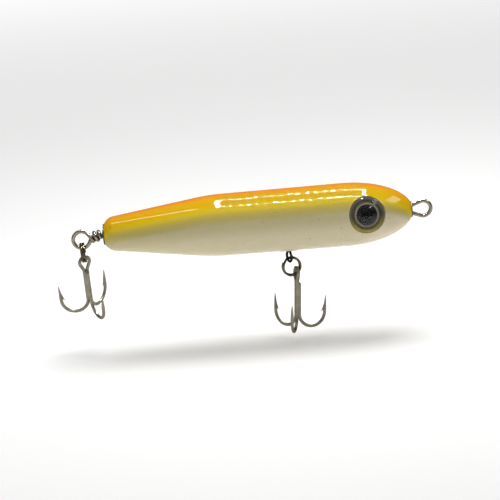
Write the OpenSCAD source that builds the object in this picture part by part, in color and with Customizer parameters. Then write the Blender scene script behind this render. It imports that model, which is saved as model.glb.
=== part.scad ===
// Wooden topwater lure: a turned stick bait with a through wire, a swivel belly
// hanger, two split rings, two brazed treble hooks and domed eyes.
// The body's axis lies along X with the nose towards +X. +Z is up.
// The origin is the centre of the line tie's opening.

/* [Body] */
// Length of the body from the nose washer's face to the tail face
body_length = 127; // [120:1:140]
// Largest diameter, where the nose ends
body_d = 26.1; // [25:0.1:28]
// Diameter where the long middle stretch ends
waist_d = 25.5; // [24.5:0.1:26]
// Length of the elliptical nose
nose_length = 28; // [26:1:32]
// Distance from the nose to the shoulder where the tail taper begins
shoulder_from_nose = 83; // [80:1:86]
// Half length of the rounding at the shoulder
shoulder_round = 6; // [3:0.5:8]
// Diameter of the tail taper just before its rounded end
tail_d = 14.2; // [13:0.1:16]
// Diameter of the flat on the tail's end
tail_flat_d = 7.8; // [6:0.1:9]
// Length of the tail's rounded corner
tail_round = 3.6; // [2.5:0.1:5]

/* [Through wire] */
// Diameter of the wire
wire_d = 1.57; // [1.4:0.01:1.8]
// Bore for the wire along the body's axis
wire_bore_d = 2; // [1.9:0.05:2.4]
// Radius of the line tie's centre line
tie_r = 3.15; // [2.8:0.05:3.6]
// Distance from the line tie's centre to the nose washer's face
tie_reach = 4.6; // [4.4:0.1:5.5]
// Half the distance between the two legs inside the nose
leg_offset = 1.45; // [1.2:0.05:1.5]
// Hole in the nose that takes both legs
nose_hole_d = 5.3; // [5.2:0.1:6]
// Depth of the nose hole
nose_hole_depth = 13; // [12:0.5:16]
// Angle by which the tail end droops
tail_droop = 9; // [0:1:12]
// Distance from the tail face to where the tail loop begins
wrap_reach = 5.7; // [5.6:0.1:6.5]
// Number of half turns in which the wire's end wraps the standing wire
wrap_half_turns = 5; // [3:1:5]
// Radius of the tail loop's centre line
tail_loop_r = 3.5; // [3.2:0.1:3.8]
// Distance from the tail face to the tail loop's centre
tail_loop_reach = 9.6; // [9.4:0.1:10.5]

/* [Washers] */
// Outside diameter of the nose washer
nose_washer_d = 6.5; // [6:0.1:7]
// Thickness of the nose washer
nose_washer_t = 0.4; // [0.3:0.05:0.6]
// Outside diameter of the tail washer
tail_washer_d = 8.8; // [8:0.1:10]
// Height of the tail washer's crown
tail_washer_t = 0.6; // [0.4:0.05:0.7]

/* [Belly swivel] */
// Distance from the nose to the belly hole
hanger_from_nose = 51.8; // [48:0.1:56]
// Diameter of the belly hole
hanger_hole_d = 7.2; // [7:0.1:8]
// Height of the belly hole's blind end above the axis
hanger_hole_top = 3.2; // [3:0.1:4]
// Wire diameter of the swivel's eyes
swivel_wire_d = 1.05; // [0.9:0.05:1.1]
// Radius of the eyes' centre line
swivel_eye_r = 2.1; // [2:0.05:2.3]
// Diameter of the barrel
barrel_d = 5; // [4.6:0.1:5.4]
// Length of the barrel
barrel_length = 7.2; // [6.6:0.1:7.6]
// Diameter of the eyes' shanks in the barrel's ends
swivel_shank_d = 2.1; // [1.9:0.05:2.2]
// Turn of the lower eye about the vertical, away from the lure's length
lower_eye_turn = -65; // [-90:1:-60]

/* [Split rings] */
// Wire thickness of one turn
ring_wire_d = 1.0; // [0.8:0.05:1]
// Radius of the rings' centre line
ring_r = 3.7; // [3.5:0.05:4]
// Turn of the belly ring about the vertical, away from the lure's length
belly_ring_turn = 16; // [10:1:20]
// Swing of the belly ring in its own plane, towards the nose
belly_ring_tilt = 17; // [0:1:20]
// Turn of the tail ring about the vertical, away from square to the lure
tail_ring_turn = 10; // [0:1:12]
// Swing of the tail ring and its treble away from the right side
tail_swing = 16; // [0:1:20]

/* [Treble hooks] */
// Wire diameter
hook_wire_d = 1.4; // [1.2:0.05:1.4]
// Radius of the eye's centre line
hook_eye_r = 2.25; // [2.25:0.05:2.4]
// Length from the top of the eye to the bottom of the bends
hook_length = 27; // [25:0.1:28]
// Radius of the bends' centre line
bend_r = 5.6; // [5:0.05:5.6]
// Height of the points above the bottom of the bends
point_height = 13.4; // [12:0.1:14]
// Length of the ground point
point_length = 6.6; // [6:0.1:7]
// Place of the belly treble's eye round its ring, below the horizontal
belly_hook_clock = 58; // [56:1:90]
// Lean of the belly treble, its bends towards the tail
belly_hook_lean = 4.5; // [0:0.5:5]
// Turn of the belly treble about its shank
belly_hook_turn = 17; // [0:1:30]
// Turn of the tail treble about its shank
tail_hook_turn = -60; // [-90:1:-50]

/* [Eyes] */
// Diameter of the eyes
eye_d = 15; // [13:0.1:15.5]
// Distance from the nose to the middle of an eye
eye_from_nose = 19.1; // [17:0.1:20]
// Height of the eyes as an angle above the body's side
eye_lift = 9; // [5:1:15]
// Depth of the sockets
socket_depth = 2.6; // [2.6:0.1:3]
// Height of the dome over the printed disc
dome_height = 3; // [2.6:0.1:3.4]

/* [Ballast] */
// Diameter of the belly weight
belly_weight_d = 8; // [7:0.1:8.5]
// Distance from the nose to the belly weight
belly_weight_from_nose = 72; // [66:1:76]
// Length of the belly weight
belly_weight_length = 7; // [6:0.1:7.5]
// Diameter of the tail weight
tail_weight_d = 7; // [6:0.1:7.5]
// Distance from the nose to the tail weight
tail_weight_from_nose = 104; // [100:1:106]
// Length of the tail weight
tail_weight_length = 4.6; // [4:0.1:5]

/* [Hidden] */
$fn = 48;

// places along X
nose_x = -tie_reach;
tail_x = nose_x - body_length;
hanger_x = nose_x - hanger_from_nose;
eye_x = nose_x - eye_from_nose;

// the body's outline: [distance behind the nose, radius]
body_r = body_d / 2;
nose_flat_angle = asin(nose_washer_d / body_d);
nose_a = (nose_length - nose_washer_t) / cos(nose_flat_angle);
function nose_point(angle) = [nose_length - nose_a * cos(angle), body_r * sin(angle)];
function blend(a, b, c, t) = (1 - t) * (1 - t) * a + 2 * t * (1 - t) * b + t * t * c;
nose_steps = 24;
blend_steps = 8;
shoulder = [shoulder_from_nose, waist_d / 2];
taper_end = [body_length - tail_round, tail_d / 2];
tail_corner = [body_length - 1, tail_d / 2 - 0.9];
tail_edge = [body_length, tail_flat_d / 2];
nose_end = [nose_length, body_r];
function toward(from, to, reach) = from + (to - from) * reach / norm(to - from);
shoulder_start = toward(shoulder, nose_end, shoulder_round);
shoulder_end = toward(shoulder, taper_end, shoulder_round);
outline = concat(
    [[nose_washer_t, 0]],
    [for (i = [0:nose_steps])
        nose_point(nose_flat_angle + (90 - nose_flat_angle) * i / nose_steps)],
    [for (i = [0:blend_steps]) blend(shoulder_start, shoulder, shoulder_end, i / blend_steps)],
    [for (i = [0:blend_steps]) blend(taper_end, tail_corner, tail_edge, i / blend_steps)],
    [[body_length, 0]]);

// the eye's seat: the body's radius and slope where the eye sits
eye_surface_r = body_r * sqrt(1 - pow((nose_length - eye_from_nose) / nose_a, 2));
eye_yaw = atan(pow(body_r / nose_a, 2) * (nose_length - eye_from_nose) / eye_surface_r);
socket_clearance = 0.1;
socket_d = eye_d + 2 * socket_clearance;
disc_t = 0.5;

// the line tie: its legs leave the ring at a tangent and bend inside the nose
leg_bend_depth = 0.6;
leg_bend = [-tie_reach - leg_bend_depth, leg_offset];
tie_angle = 180 - atan(leg_offset / -leg_bend.x) - acos(tie_r / norm(leg_bend));
tie_tangent = tie_r * [cos(tie_angle), sin(tie_angle)];
tag_end_x = nose_x - nose_hole_depth + 2.5;
merge_x = nose_x - nose_hole_depth + 0.5;

// the tail loop, in the drooping end's own frame
wrap_gap = 0.05;
wrap_r = wire_d + wrap_gap;
wrap_pitch = wire_d + 0.13;
loop_start = [-wrap_reach, 0];
loop_centre = [-tail_loop_reach, 0];
loop_angle = acos(tail_loop_r / (tail_loop_reach - wrap_reach));
loop_tangent = loop_centre + tail_loop_r * [cos(loop_angle), sin(loop_angle)];

// where the tail ring hangs: the lowest point of the drooping loop
tail_slack = 0.15;
tail_pivot = [tail_x - tail_loop_reach * cos(tail_droop), 0,
              -tail_loop_reach * sin(tail_droop) - tail_loop_r];
tail_ring_centre = tail_pivot
    - [0, 0, ring_r - wire_d / 2 - ring_wire_d / 2 - tail_slack];
tail_hook_pivot = tail_ring_centre - [0, 0, ring_r];

// the swivel hangs on the through wire
upper_eye_slack = 0.1;
upper_eye_z = wire_d / 2 + swivel_wire_d / 2 + upper_eye_slack - swivel_eye_r;
eye_shank = 1.35;
barrel_top = upper_eye_z - swivel_eye_r - swivel_wire_d / 2 - eye_shank;
barrel_bottom = barrel_top - barrel_length;
lower_eye_z = barrel_bottom - eye_shank - swivel_wire_d / 2 - swivel_eye_r;
barrel_wall = 0.6;
barrel_edge = 1.2;
shank_clearance = 0.06;
swivel_head_d = 3.2;
swivel_head_t = 0.8;
head_play = 0.15;

// the belly ring hangs on the lower eye's bottom wire
belly_slack = 0.35;
belly_pivot = [hanger_x, 0, lower_eye_z - swivel_eye_r];
belly_hang = ring_r - swivel_wire_d / 2 - ring_wire_d / 2 - belly_slack;
function in_belly_ring(reach, angle) =
    reach * [sin(angle) * cos(belly_ring_turn), sin(angle) * sin(belly_ring_turn), -cos(angle)];
belly_ring_centre = belly_pivot + in_belly_ring(belly_hang, belly_ring_tilt);
belly_hook_pivot = belly_ring_centre + in_belly_ring(ring_r, 90 - belly_hook_clock);

// trebles: the double hook's shanks touch and the third hook lies in their groove
shank_overlap = 0.02;
shank_gap = 0.02;
shank_y = hook_wire_d / 2 - shank_overlap;
groove_x = sqrt(pow(hook_wire_d + shank_gap, 2) - pow(shank_y, 2));
eye_top = hook_eye_r + hook_wire_d / 2;
bend_z = eye_top - hook_length + hook_wire_d / 2 + bend_r;
eye_leave = 30;
throat_z = -hook_eye_r - 1.6;
third_top = eye_top - 7.6;
point_z = eye_top - hook_length + point_height;
barb_z = point_z - point_length;
tip_shift = 0.45;
tip_d = 0.16;
barb_reach = 1;
barb_angle = 27;
barb_rise = 2.4;

// the tail treble's eye clears the ring's two turns as it swings
tail_eye_play = 0.1;
tail_hook_drop = hook_wire_d + tail_eye_play - hook_eye_r;

// ballast holes are drilled up from the belly
plug_depth = 2.2;
function radius_at(d) = shoulder.y
    + (taper_end.y - shoulder.y) * max(0, d - shoulder.x) / (taper_end.x - shoulder.x);

// wire swells by this much where two stretches meet
knee_swell = 1.06;

// ---- helpers ----

module along_x() rotate([0, 90, 0]) children();

module upright() rotate([90, 0, 0]) children();

// straight wire between two points
module rod(a, b, d) {
    run = b - a;
    translate(a)
        rotate([0, acos(run.z / norm(run)), atan2(run.y, run.x)])
            cylinder(h = norm(run), d = d);
}

// swelling where two stretches of wire meet
module knee(p, d) translate(p) sphere(d = d * knee_swell);

// bent wire in the XY plane, about the origin
module bent(r, d, from, to)
    rotate([0, 0, from])
        rotate_extrude(angle = to - from)
            translate([r, 0]) circle(d = d);

module ring(r, d) rotate_extrude() translate([r, 0]) circle(d = d);

function up(p) = [p.x, 0, p.y];

// ---- body ----

module body_form()
    along_x()
        rotate_extrude($fn = 96)
            polygon([for (p = outline) [p.y, nose_x - p.x]]);

module on_cheek(side)
    translate([eye_x, 0, 0])
        rotate([-side * (90 - eye_lift), 0, 0])
            translate([0, 0, eye_surface_r])
                rotate([0, eye_yaw, 0])
                    children();

module ballast_hole(from_nose, d, length)
    translate([nose_x - from_nose, 0, -body_r])
        cylinder(h = body_r - radius_at(from_nose) + plug_depth + length, d = d);

module body()
    color("goldenrod")
    difference() {
        body_form();
        translate([tail_x - 1, 0, 0])
            along_x() cylinder(h = body_length + 2, d = wire_bore_d);
        translate([nose_x - nose_hole_depth, 0, 0])
            along_x() cylinder(h = nose_hole_depth + 1, d = nose_hole_d);
        translate([hanger_x, 0, -body_r - 1])
            cylinder(h = body_r + 1 + hanger_hole_top, d = hanger_hole_d);
        for (side = [-1, 1])
            on_cheek(side) translate([0, 0, -socket_depth]) cylinder(h = 10, d = socket_d);
        ballast_hole(belly_weight_from_nose, belly_weight_d, belly_weight_length);
        ballast_hole(tail_weight_from_nose, tail_weight_d, tail_weight_length);
    }

// ---- through wire ----

module line_tie() {
    upright() bent(tie_r, wire_d, -tie_angle, tie_angle);
    for (side = [-1, 1]) {
        tangent = up([tie_tangent.x, side * tie_tangent.y]);
        inner = up([leg_bend.x, side * leg_bend.y]);
        rod(tangent, inner, wire_d);
        knee(tangent, wire_d);
        knee(inner, wire_d);
    }
    rod(up(leg_bend), [merge_x, 0, 0], wire_d);
    knee([merge_x, 0, 0], wire_d);
    rod(up([leg_bend.x, -leg_bend.y]), [tag_end_x, 0, -leg_bend.y], wire_d);
}

// half a turn of the wrap, tilted so that it climbs half a pitch
module half_turn(n) {
    side = n % 2 == 0 ? -1 : 1;
    centre = [-wrap_reach + (n + 0.5) * wrap_pitch / 2, 0, 0];
    out = [-wrap_pitch / 4, side * wrap_r, 0];
    u = out / norm(out);
    w = [0, 0, side];
    v = cross(u, w);
    multmatrix([[u.x, w.x, v.x, centre.x],
                [u.y, w.y, v.y, centre.y],
                [u.z, w.z, v.z, centre.z],
                [0, 0, 0, 1]])
    {
        bent(norm(out), wire_d, 0, 180);
        knee([norm(out), 0, 0], wire_d);
    }
}

module tail_loop()
    translate([tail_x, 0, 0])
        rotate([0, -tail_droop, 0]) {
            rod([0, 0, 0], up(loop_start), wire_d);
            knee(up(loop_start), wire_d);
            rod(up(loop_start), up([loop_tangent.x, -loop_tangent.y]), wire_d);
            translate(up(loop_centre))
                upright() bent(tail_loop_r, wire_d, loop_angle, 360 - loop_angle);
            rod(up(loop_tangent), [-wrap_reach, -wrap_r, 0], wire_d);
            for (side = [-1, 1]) knee(up([loop_tangent.x, side * loop_tangent.y]), wire_d);
            for (n = [0:wrap_half_turns - 1]) half_turn(n);
        }

module through_wire()
    color("silver") {
        line_tie();
        rod([merge_x, 0, 0], [tail_x, 0, 0], wire_d);
        knee([tail_x, 0, 0], wire_d);
        tail_loop();
    }

// ---- washers ----

module nose_washer()
    color("dimgray")
    translate([nose_x - nose_washer_t, 0, 0])
        along_x()
            difference() {
                cylinder(h = nose_washer_t, d = nose_washer_d);
                translate([0, 0, -1]) cylinder(h = nose_washer_t + 2, d = nose_hole_d);
            }

module tail_washer()
    color("slategray")
    translate([tail_x, 0, 0])
        rotate([0, -90, 0])
            rotate_extrude()
                polygon([[wire_d / 2 + 0.2, 0],
                         [tail_washer_d / 2, 0],
                         [tail_washer_d / 2, 0.2],
                         [tail_washer_d / 2 - 0.5, 0.42],
                         [tail_washer_d / 4, tail_washer_t],
                         [wire_d / 2 + 0.2, tail_washer_t]]);

// ---- belly swivel ----

// an eye with its shank and the head that holds it in the barrel
module swivel_eye() {
    reach = swivel_eye_r + swivel_wire_d / 2 + eye_shank + barrel_wall + head_play;
    upright() ring(swivel_eye_r, swivel_wire_d);
    translate([0, 0, swivel_eye_r]) cylinder(h = reach - swivel_eye_r, d = swivel_shank_d);
    translate([0, 0, reach]) cylinder(h = swivel_head_t, d = swivel_head_d);
}

module swivel_upper_eye()
    color("dimgray")
    translate([hanger_x, 0, upper_eye_z])
        rotate([180, 0, 90]) swivel_eye();

module swivel_lower_eye()
    color("black")
    translate([hanger_x, 0, lower_eye_z])
        rotate([0, 0, lower_eye_turn]) swivel_eye();

module barrel_half(r, length, edge)
    rotate_extrude()
        polygon([[0, 0],
                 [r, 0],
                 [r, length - edge],
                 [r - edge * 0.35, length - edge * 0.4],
                 [r - edge, length],
                 [0, length]]);

module swivel_barrel()
    color("darkgoldenrod")
    translate([hanger_x, 0, (barrel_top + barrel_bottom) / 2])
        difference() {
            for (turn = [0, 180])
                rotate([turn, 0, 0]) barrel_half(barrel_d / 2, barrel_length / 2, barrel_edge);
            translate([0, 0, -barrel_length / 2 + barrel_wall])
                cylinder(h = barrel_length - 2 * barrel_wall, d = barrel_d - 2 * barrel_wall);
            translate([0, 0, -barrel_length])
                cylinder(h = 2 * barrel_length, d = swivel_shank_d + 2 * shank_clearance);
        }

// ---- split rings ----

// two turns of wire side by side, about the origin in the XZ plane
module split_ring()
    upright()
        rotate_extrude()
            translate([ring_r, 0]) {
                for (side = [-1, 1])
                    translate([0, side * ring_wire_d / 2]) circle(d = ring_wire_d);
                square([ring_wire_d, ring_wire_d], center = true);
            }

module belly_split_ring()
    color("gray")
    translate(belly_ring_centre) rotate([0, 0, belly_ring_turn]) split_ring();

// the ring and the treble that hang on the tail loop swing about its wire
module swung_at_tail()
    translate(tail_pivot) rotate([tail_swing, 0, 0]) translate(-tail_pivot)
        children();

module tail_split_ring()
    color("gray")
    swung_at_tail()
        translate(tail_ring_centre) rotate([0, 0, 90 + tail_ring_turn]) split_ring();

// ---- treble hooks ----

// one bend from a shank on the Z axis, with its point towards +X
module bend_and_point() {
    leg_x = 2 * bend_r;
    translate([bend_r, 0, bend_z]) upright() bent(bend_r, hook_wire_d, 180, 360);
    rod([leg_x, 0, bend_z], [leg_x, 0, barb_z], hook_wire_d);
    knee([leg_x, 0, barb_z], hook_wire_d);
    translate([leg_x, 0, barb_z])
        rotate([0, atan(tip_shift / point_length), 0])
            cylinder(h = point_length, d1 = hook_wire_d, d2 = tip_d);
    barb(leg_x);
}

// a cut lifted inwards from the foot of the point, its free end downwards
module barb(leg_x)
    intersection() {
        translate([leg_x - hook_wire_d / 2 - barb_reach, 0, barb_z - 0.3])
            rotate([0, barb_angle, 0])
                cylinder(h = 4, d1 = 0.3, d2 = 1.5);
        translate([leg_x - 3, -1, barb_z - 1]) cube([3.2, 2, barb_rise + 1]);
    }

module shank(from_z) rod([0, 0, bend_z], [0, 0, from_z], hook_wire_d);

// the eye is in the YZ plane about the origin, with the shanks below it
module double_hook() {
    rotate([0, 0, 90]) upright() ring(hook_eye_r, hook_wire_d);
    for (side = [-1, 1]) {
        rod([0, side * hook_eye_r * sin(eye_leave), -hook_eye_r * cos(eye_leave)],
            [0, side * shank_y, throat_z], hook_wire_d);
        knee([0, side * shank_y, throat_z], hook_wire_d);
        translate([0, side * shank_y, 0]) {
            shank(throat_z);
            rotate([0, 0, side * 120]) bend_and_point();
        }
    }
}

module third_hook()
    translate([groove_x, 0, 0]) {
        shank(third_top);
        bend_and_point();
    }

module on_belly_ring()
    translate(belly_hook_pivot)
        rotate([0, belly_hook_lean, belly_hook_turn])
            children();

module on_tail_ring()
    swung_at_tail()
        translate(tail_hook_pivot + [0, 0, tail_hook_drop])
            rotate([0, 0, tail_hook_turn])
                children();

module belly_double_hook() color("darkgray") on_belly_ring() double_hook();

module belly_third_hook() color("lightgray") on_belly_ring() third_hook();

module tail_double_hook() color("darkgray") on_tail_ring() double_hook();

module tail_third_hook() color("lightgray") on_tail_ring() third_hook();

// ---- eyes ----

module eye_disc(side)
    color("darkolivegreen")
    on_cheek(side)
        translate([0, 0, -socket_depth]) cylinder(h = disc_t, d = eye_d);

module eye_dome(side) {
    dome_r = (pow(eye_d / 2, 2) + pow(dome_height, 2)) / (2 * dome_height);
    color("lightcyan")
    on_cheek(side)
        translate([0, 0, disc_t - socket_depth])
            intersection() {
                translate([0, 0, dome_height - dome_r]) sphere(r = dome_r, $fn = 96);
                cylinder(h = dome_height + 1, d = eye_d);
            }
}

// ---- ballast ----

module slug(from_nose, d, length)
    color("gray")
    translate([nose_x - from_nose, 0, plug_depth - radius_at(from_nose)])
        cylinder(h = length, d = d);

module slug_plug(from_nose, d)
    color("burlywood")
    intersection() {
        translate([nose_x - from_nose, 0, -body_r])
            cylinder(h = body_r - radius_at(from_nose) + plug_depth, d = d);
        body_form();
    }

module belly_weight() slug(belly_weight_from_nose, belly_weight_d, belly_weight_length);

module belly_weight_plug() slug_plug(belly_weight_from_nose, belly_weight_d);

module tail_weight() slug(tail_weight_from_nose, tail_weight_d, tail_weight_length);

module tail_weight_plug() slug_plug(tail_weight_from_nose, tail_weight_d);

body();
through_wire();
nose_washer();
tail_washer();
swivel_upper_eye();
swivel_barrel();
swivel_lower_eye();
belly_split_ring();
belly_double_hook();
belly_third_hook();
tail_split_ring();
tail_double_hook();
tail_third_hook();
eye_disc(1);  // left_eye_disc
eye_dome(1);  // left_eye_dome
eye_disc(-1);  // right_eye_disc
eye_dome(-1);  // right_eye_dome
belly_weight();
belly_weight_plug();
tail_weight();
tail_weight_plug();
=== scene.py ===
import math
import bpy
import bmesh
import numpy as np
from mathutils import Matrix, Vector
from mathutils.geometry import delaunay_2d_cdt


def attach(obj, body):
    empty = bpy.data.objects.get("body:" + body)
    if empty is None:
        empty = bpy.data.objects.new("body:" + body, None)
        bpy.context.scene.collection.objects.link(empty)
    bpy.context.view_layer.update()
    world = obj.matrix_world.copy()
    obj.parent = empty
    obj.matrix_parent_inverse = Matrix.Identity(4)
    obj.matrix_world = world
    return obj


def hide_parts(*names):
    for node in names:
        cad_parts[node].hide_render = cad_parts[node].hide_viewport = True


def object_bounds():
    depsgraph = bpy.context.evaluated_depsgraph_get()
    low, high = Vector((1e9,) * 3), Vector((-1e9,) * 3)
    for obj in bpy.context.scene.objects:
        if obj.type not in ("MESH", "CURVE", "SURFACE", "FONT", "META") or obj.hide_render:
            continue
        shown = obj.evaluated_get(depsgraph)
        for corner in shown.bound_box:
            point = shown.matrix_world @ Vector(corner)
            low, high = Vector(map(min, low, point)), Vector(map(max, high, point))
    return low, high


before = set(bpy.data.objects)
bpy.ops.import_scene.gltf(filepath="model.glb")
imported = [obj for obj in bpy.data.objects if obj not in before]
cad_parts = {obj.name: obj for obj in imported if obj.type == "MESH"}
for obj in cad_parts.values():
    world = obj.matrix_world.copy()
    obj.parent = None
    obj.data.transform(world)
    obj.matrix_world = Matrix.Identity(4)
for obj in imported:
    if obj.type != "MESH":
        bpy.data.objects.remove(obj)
CAD_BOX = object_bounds()

# All sizes are in millimetres, as in part.scad. SCALE turns them into metres.
SCALE = 0.001
TAU = 2 * math.pi
rad = math.radians


# ---- sizes, as in part.scad

BODY_LENGTH, BODY_R, WAIST_R = 127.0, 13.05, 12.75
NOSE_LENGTH, NOSE_FLAT_R, NOSE_FLAT_AT = 28.0, 3.25, 0.4
SHOULDER_AT, SHOULDER_ROUND = 83.0, 6.0
TAIL_R, TAIL_FLAT_R, TAIL_ROUND = 7.1, 3.9, 3.6
NOSE_X = -4.6
TAIL_X = NOSE_X - BODY_LENGTH
WIRE_R = 0.785
BORE_R = 1.0
TIE_R = 3.15
NOSE_HOLE_DEPTH = 13.0
TAIL_DROOP = rad(9)
WRAP_REACH, WRAP_START, WRAP_TURNS, WRAP_PITCH, WRAP_R = 5.7, 5.35, 2.08, 1.88, 1.62
TAIL_LOOP_R, TAIL_LOOP_REACH = 3.5, 9.6
HANGER_X = NOSE_X - 51.8
HANGER_HOLE_R, HANGER_TOP = 3.6, 3.2
EYE_R, SOCKET_R, SOCKET_DEPTH, DISC_T, DOME_HEIGHT = 7.5, 7.6, 2.6, 0.5, 3.0
EYE_AT, EYE_LIFT = 19.1, rad(9)
EYE_X = NOSE_X - EYE_AT
SWIVEL_EYE_R, SWIVEL_WIRE_R, SWIVEL_SHANK_R = 2.1, 0.525, 1.05
UPPER_EYE_Z, LOWER_EYE_Z = -0.69, -15.84
BARREL_TOP, BARREL_BOTTOM, BARREL_WALL = -4.665, -11.865, 0.6
LOWER_EYE_TURN = rad(-65)
RING_WIRE_R, RING_R = 0.5, 3.7
BELLY_RING_TURN, BELLY_RING_TILT, BELLY_CLOCK = rad(16), rad(17), rad(58)
BELLY_LEAN, BELLY_TURN = rad(4.5), rad(17)
TAIL_TURN, TAIL_RING_TURN, TAIL_SWING = rad(-60), rad(10), rad(16)
HOOK_R, HOOK_EYE_R, HOOK_LENGTH, BEND_R = 0.7, 2.25, 27.0, 5.6
POINT_HEIGHT, POINT_LENGTH, TIP_SHIFT = 13.4, 6.6, 0.45
SHANK_Y = HOOK_R - 0.02
GROOVE_X = math.sqrt((2 * HOOK_R + 0.02) ** 2 - SHANK_Y ** 2)
EYE_TOP = HOOK_EYE_R + HOOK_R
BEND_Z = EYE_TOP - HOOK_LENGTH + HOOK_R + BEND_R
THROAT_Z = -HOOK_EYE_R - 1.6
THIRD_TOP = EYE_TOP - 7.6
BARB_Z = EYE_TOP - HOOK_LENGTH + POINT_HEIGHT - POINT_LENGTH
PLUG_DEPTH = 2.2
BELLY_WEIGHT = dict(at=72.0, r=4.0, length=7.0)
TAIL_WEIGHT = dict(at=104.0, r=3.5, length=4.6)


def moved(x, y=0.0, z=0.0):
    return Matrix.Translation((x, y, z))


def turned(angle, axis):
    return Matrix.Rotation(angle, 4, axis)


# ---- the body's outline

NOSE_TILT = math.asin(NOSE_FLAT_R / BODY_R)
NOSE_A = (NOSE_LENGTH - NOSE_FLAT_AT) / math.cos(NOSE_TILT)


def toward(a, b, reach):
    d = math.hypot(b[0] - a[0], b[1] - a[1])
    return (a[0] + (b[0] - a[0]) * reach / d, a[1] + (b[1] - a[1]) * reach / d)


def blend(a, b, c, n):
    return [tuple((1 - t) ** 2 * a[k] + 2 * t * (1 - t) * b[k] + t * t * c[k] for k in (0, 1))
            for t in (i / n for i in range(n + 1))]


def outline():
    """The body's outside, from the nose's flat to the tail's: (distance behind the nose, radius)."""
    shoulder = (SHOULDER_AT, WAIST_R)
    taper_end = (BODY_LENGTH - TAIL_ROUND, TAIL_R)
    line = [(NOSE_LENGTH - NOSE_A * math.cos(t), BODY_R * math.sin(t))
            for t in (NOSE_TILT + (math.pi / 2 - NOSE_TILT) * i / 90 for i in range(91))]
    line += blend(toward(shoulder, (NOSE_LENGTH, BODY_R), SHOULDER_ROUND), shoulder,
                  toward(shoulder, taper_end, SHOULDER_ROUND), 24)
    line += blend(taper_end, (BODY_LENGTH - 1, TAIL_R - 0.9), (BODY_LENGTH, TAIL_FLAT_R), 30)
    return np.array(line)


LINE = outline()


def radius_at(d):
    """The body's radius at a distance behind the nose."""
    return float(np.interp(d, LINE[:, 0], LINE[:, 1]))


SEAT_R = BODY_R * math.sqrt(1 - ((NOSE_LENGTH - EYE_AT) / NOSE_A) ** 2)
EYE_YAW = math.atan((BODY_R / NOSE_A) ** 2 * (NOSE_LENGTH - EYE_AT) / SEAT_R)


def eye_frame(side):
    """The eye's own frame: X towards the nose, Z out of the cheek, from its seat on the body."""
    tilt = turned(-side * (math.pi / 2 - EYE_LIFT), "X")
    return moved(EYE_X) @ tilt @ moved(0, 0, SEAT_R) @ turned(EYE_YAW, "Y")


# ---- mesh building

def circle(steps):
    """The cosine and sine of angles all round."""
    return [(math.cos(TAU * k / steps), math.sin(TAU * k / steps)) for k in range(steps)]


def smooth(t):
    """A smooth step from 0 to 1."""
    t = min(max(t, 0), 1)
    return t * t * (3 - 2 * t)


class Shell:
    """A mesh being built. Each face has a material number, each point a pattern vector."""

    def __init__(self):
        self.points, self.faces, self.mats, self.pattern = [], [], [], []

    def point(self, p, pattern=(0, 0, 0)):
        self.points.append(Vector(p))
        self.pattern.append(tuple(pattern))
        return len(self.points) - 1

    def row(self, points, pattern=None):
        """Adds several points; pattern is a function that gives each its vector."""
        return [self.point(p, pattern(p) if pattern else (0, 0, 0)) for p in points]

    def face(self, corners, mat=0):
        corners = tuple(dict.fromkeys(corners))
        if len(corners) > 2:
            self.faces.append(corners)
            self.mats.append(mat)

    def strip(self, a, b, mat=0):
        """Quads between two closed rows of the same length."""
        n = len(a)
        for i in range(n):
            k = (i + 1) % n
            self.face((a[i], a[k], b[k], b[i]), mat)

    def skin(self, rows, mat=0):
        for a, b in zip(rows, rows[1:]):
            self.strip(a, b, mat)

    def fan(self, row, centre, mat=0, flip=False):
        n = len(row)
        for i in range(n):
            k = (i + 1) % n
            self.face((row[k], row[i], centre) if flip else (row[i], row[k], centre), mat)


def frames(path):
    """Two unit vectors square to the path at each of its points, turning as little as they can."""
    p = np.array([tuple(q) for q in path], float)
    t = np.gradient(p, axis=0)
    t /= np.linalg.norm(t, axis=1)[:, None]
    a = np.zeros((len(p), 3))
    start = np.eye(3)[int(np.argmin(abs(t[0])))]
    a[0] = start - t[0] * (start @ t[0])
    a[0] /= np.linalg.norm(a[0])
    for i in range(1, len(p)):
        v = p[i] - p[i - 1]
        r = a[i - 1] - 2 * v * (v @ a[i - 1]) / (v @ v)
        w = t[i] - (t[i - 1] - 2 * v * (v @ t[i - 1]) / (v @ v))
        c = w @ w
        a[i] = r - 2 * w * (w @ r) / c if c > 1e-14 else r
        a[i] -= t[i] * (a[i] @ t[i])
        a[i] /= np.linalg.norm(a[i])
    return p, t, a, np.cross(t, a)


# how a wire's end closes: rings of (share of the radius, rise beyond the end in radii)
CAPS = {"flat": ((0.97, 0.06), (0.9, 0.1)), "point": ((0.7, 0.6),)}


def tube(shell, path, radius, sides=20, ends=("flat", "flat"), shape=None):
    """A wire along path. shape(i, offset) may press the section at point i out of round."""
    p, t, a, b = frames(path)
    radius = np.full(len(p), radius, float) if np.isscalar(radius) else np.array(radius, float)
    along = np.concatenate([[0], np.cumsum(np.linalg.norm(np.diff(p, axis=0), axis=1))])

    def ring(i, direction=1, share=1.0, rise=0.0):
        centre = p[i] + t[i] * direction * radius[i] * rise
        row = []
        for c, s in circle(sides):
            offset = a[i] * c + b[i] * s
            if shape is not None:
                offset = shape(i, offset)
            row.append(shell.point(centre + offset * (radius[i] * share), (c, s, along[i])))
        return row

    rows = [ring(i) for i in range(len(p))]
    shell.skin(rows)
    for i, direction, style in ((0, -1, ends[0]), (len(p) - 1, 1, ends[1])):
        row = rows[i]
        for share, rise in CAPS[style]:
            outer = ring(i, direction, share, rise)
            shell.skin([row, outer] if direction > 0 else [outer, row])
            row = outer
        tip = shell.point(p[i] + t[i] * direction * radius[i] * rise, (0, 0, along[i]))
        shell.fan(row, tip, flip=direction < 0)


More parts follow.
